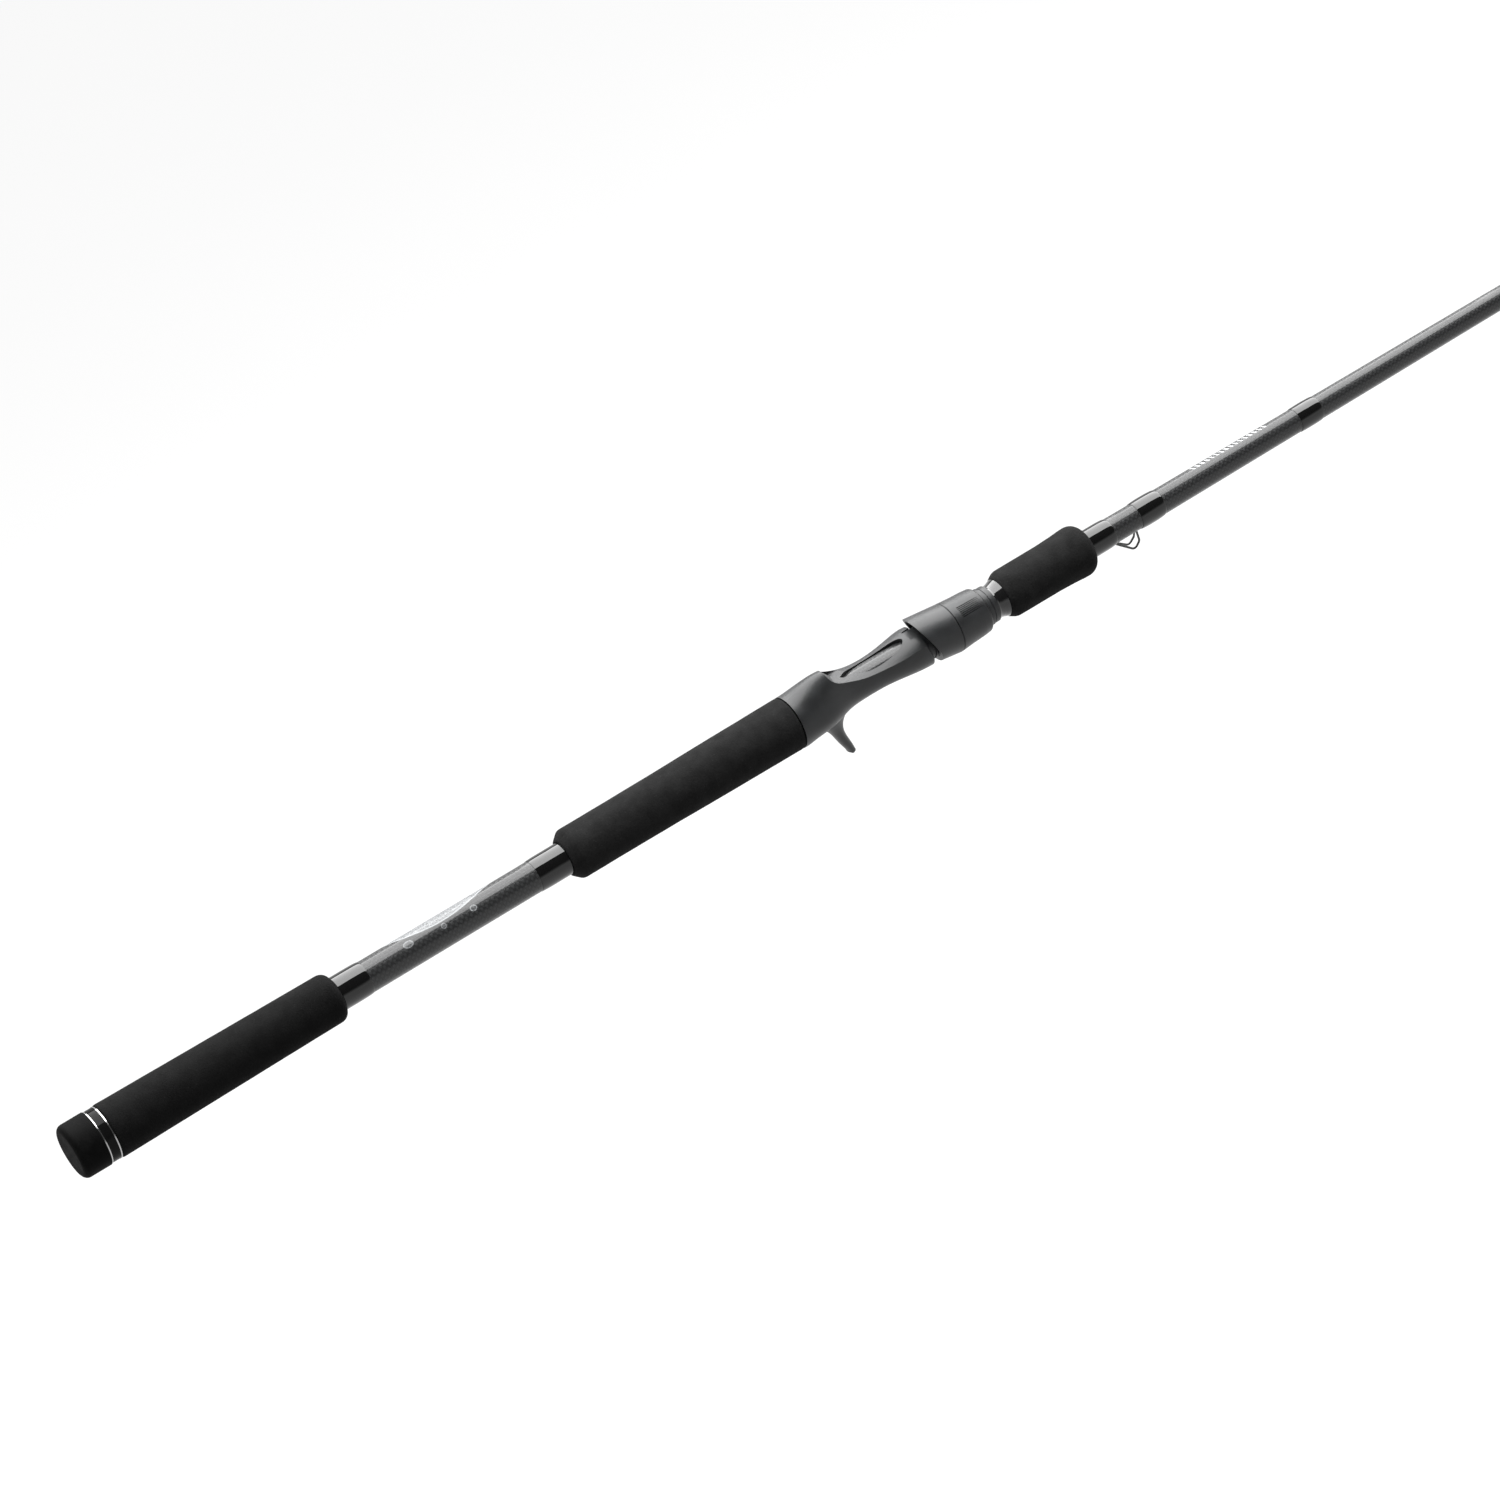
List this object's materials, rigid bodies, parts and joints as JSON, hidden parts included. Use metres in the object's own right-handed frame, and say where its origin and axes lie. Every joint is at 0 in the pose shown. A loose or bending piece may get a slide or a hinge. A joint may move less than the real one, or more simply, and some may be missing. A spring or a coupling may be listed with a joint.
{
  "type": "casting fishing rod",
  "caption": "Two-piece casting rod with a split foam handle, trigger reel seat, sliding threaded hood, hook keeper and ringed line guides.",
  "frame": {"origin": "centre of the butt cap's end face, on the rod's axis", "axes": "+X along the rod from the butt to the tip, +Z towards the reel and the line guides, +Y to the left when looking from the butt to the tip with the guides up"},
  "size_m": [2.4, 0.0292, 0.0727],
  "materials": {
    "carbon_blank": "clear-coated woven carbon",
    "eva_foam": "fine-ground closed-cell foam",
    "cap_rubber": "moulded, satin",
    "seat_plastic": "soft-touch matte",
    "black_trim": "glossy anodised look",
    "polished_trim": "polished",
    "arbor": "moulded",
    "hood_cushion": "soft lining",
    "keeper_wire": "dark plated wire",
    "thread_wrap": "thread under clear epoxy",
    "guide_frame": "dark plated stainless",
    "ceramic": "polished ceramic"
  },
  "bodies": {
    "butt_section": {"butt_blank": "carbon_blank", "butt_cap": "cap_rubber", "trim_ring_rear": "polished_trim", "trim_band": "black_trim", "trim_ring_front": "polished_trim", "butt_grip": "eva_foam", "butt_wrap": "thread_wrap", "mid_wrap": "thread_wrap", "rear_grip": "eva_foam", "reel_seat_body": "seat_plastic", "seat_arbor_rear": "arbor", "seat_arbor_front": "arbor", "front_collar": "seat_plastic", "neck_trim": "black_trim", "foregrip": "eva_foam", "foregrip_wrap": "thread_wrap", "hook_keeper": "keeper_wire", "keeper_wrap": "thread_wrap", "label_wrap": "thread_wrap", "guide_1_frame": "guide_frame", "guide_1_ring": "ceramic", "guide_1_wraps": "thread_wrap"},
    "hood": {"sliding_hood": "seat_plastic", "hood_cushion": "hood_cushion"},
    "nut": {"lock_nut": "seat_plastic"},
    "tip_section": {"tip_blank": "carbon_blank", "ferrule_wrap": "thread_wrap", "guide_2_frame": "guide_frame", "guide_2_ring": "ceramic", "guide_2_wraps": "thread_wrap", "guide_3_frame": "guide_frame", "guide_3_ring": "ceramic", "guide_3_wraps": "thread_wrap", "guide_4_frame": "guide_frame", "guide_4_ring": "ceramic", "guide_4_wraps": "thread_wrap", "guide_5_frame": "guide_frame", "guide_5_ring": "ceramic", "guide_5_wraps": "thread_wrap", "guide_6_frame": "guide_frame", "guide_6_ring": "ceramic", "guide_6_wraps": "thread_wrap", "guide_7_frame": "guide_frame", "guide_7_ring": "ceramic", "guide_7_wraps": "thread_wrap", "guide_8_frame": "guide_frame", "guide_8_ring": "ceramic", "guide_8_wraps": "thread_wrap", "tip_top_frame": "guide_frame", "tip_top_ring": "ceramic", "tip_top_wrap": "thread_wrap"}
  },
  "joints": [
    {"name": "hood_slide", "type": "slide", "parent": "butt_section", "child": "hood", "axis": [-1, 0, 0], "range_m": [0, 0.0034]},
    {"name": "lock_nut_turn", "type": "hinge", "parent": "hood", "child": "nut", "pos_m": [0.535, 0, 0], "axis": [-1, 0, 0], "range_deg": [0, 612.5]},
    {"name": "tip_section_slide", "type": "slide", "parent": "butt_section", "child": "tip_section", "axis": [1, 0, 0], "range_m": [0, 0.12]}
  ],
  "couplings": [
    {"joint": "lock_nut_turn", "follows": "hood_slide", "rad_per_m": 3141.6}
  ]
}
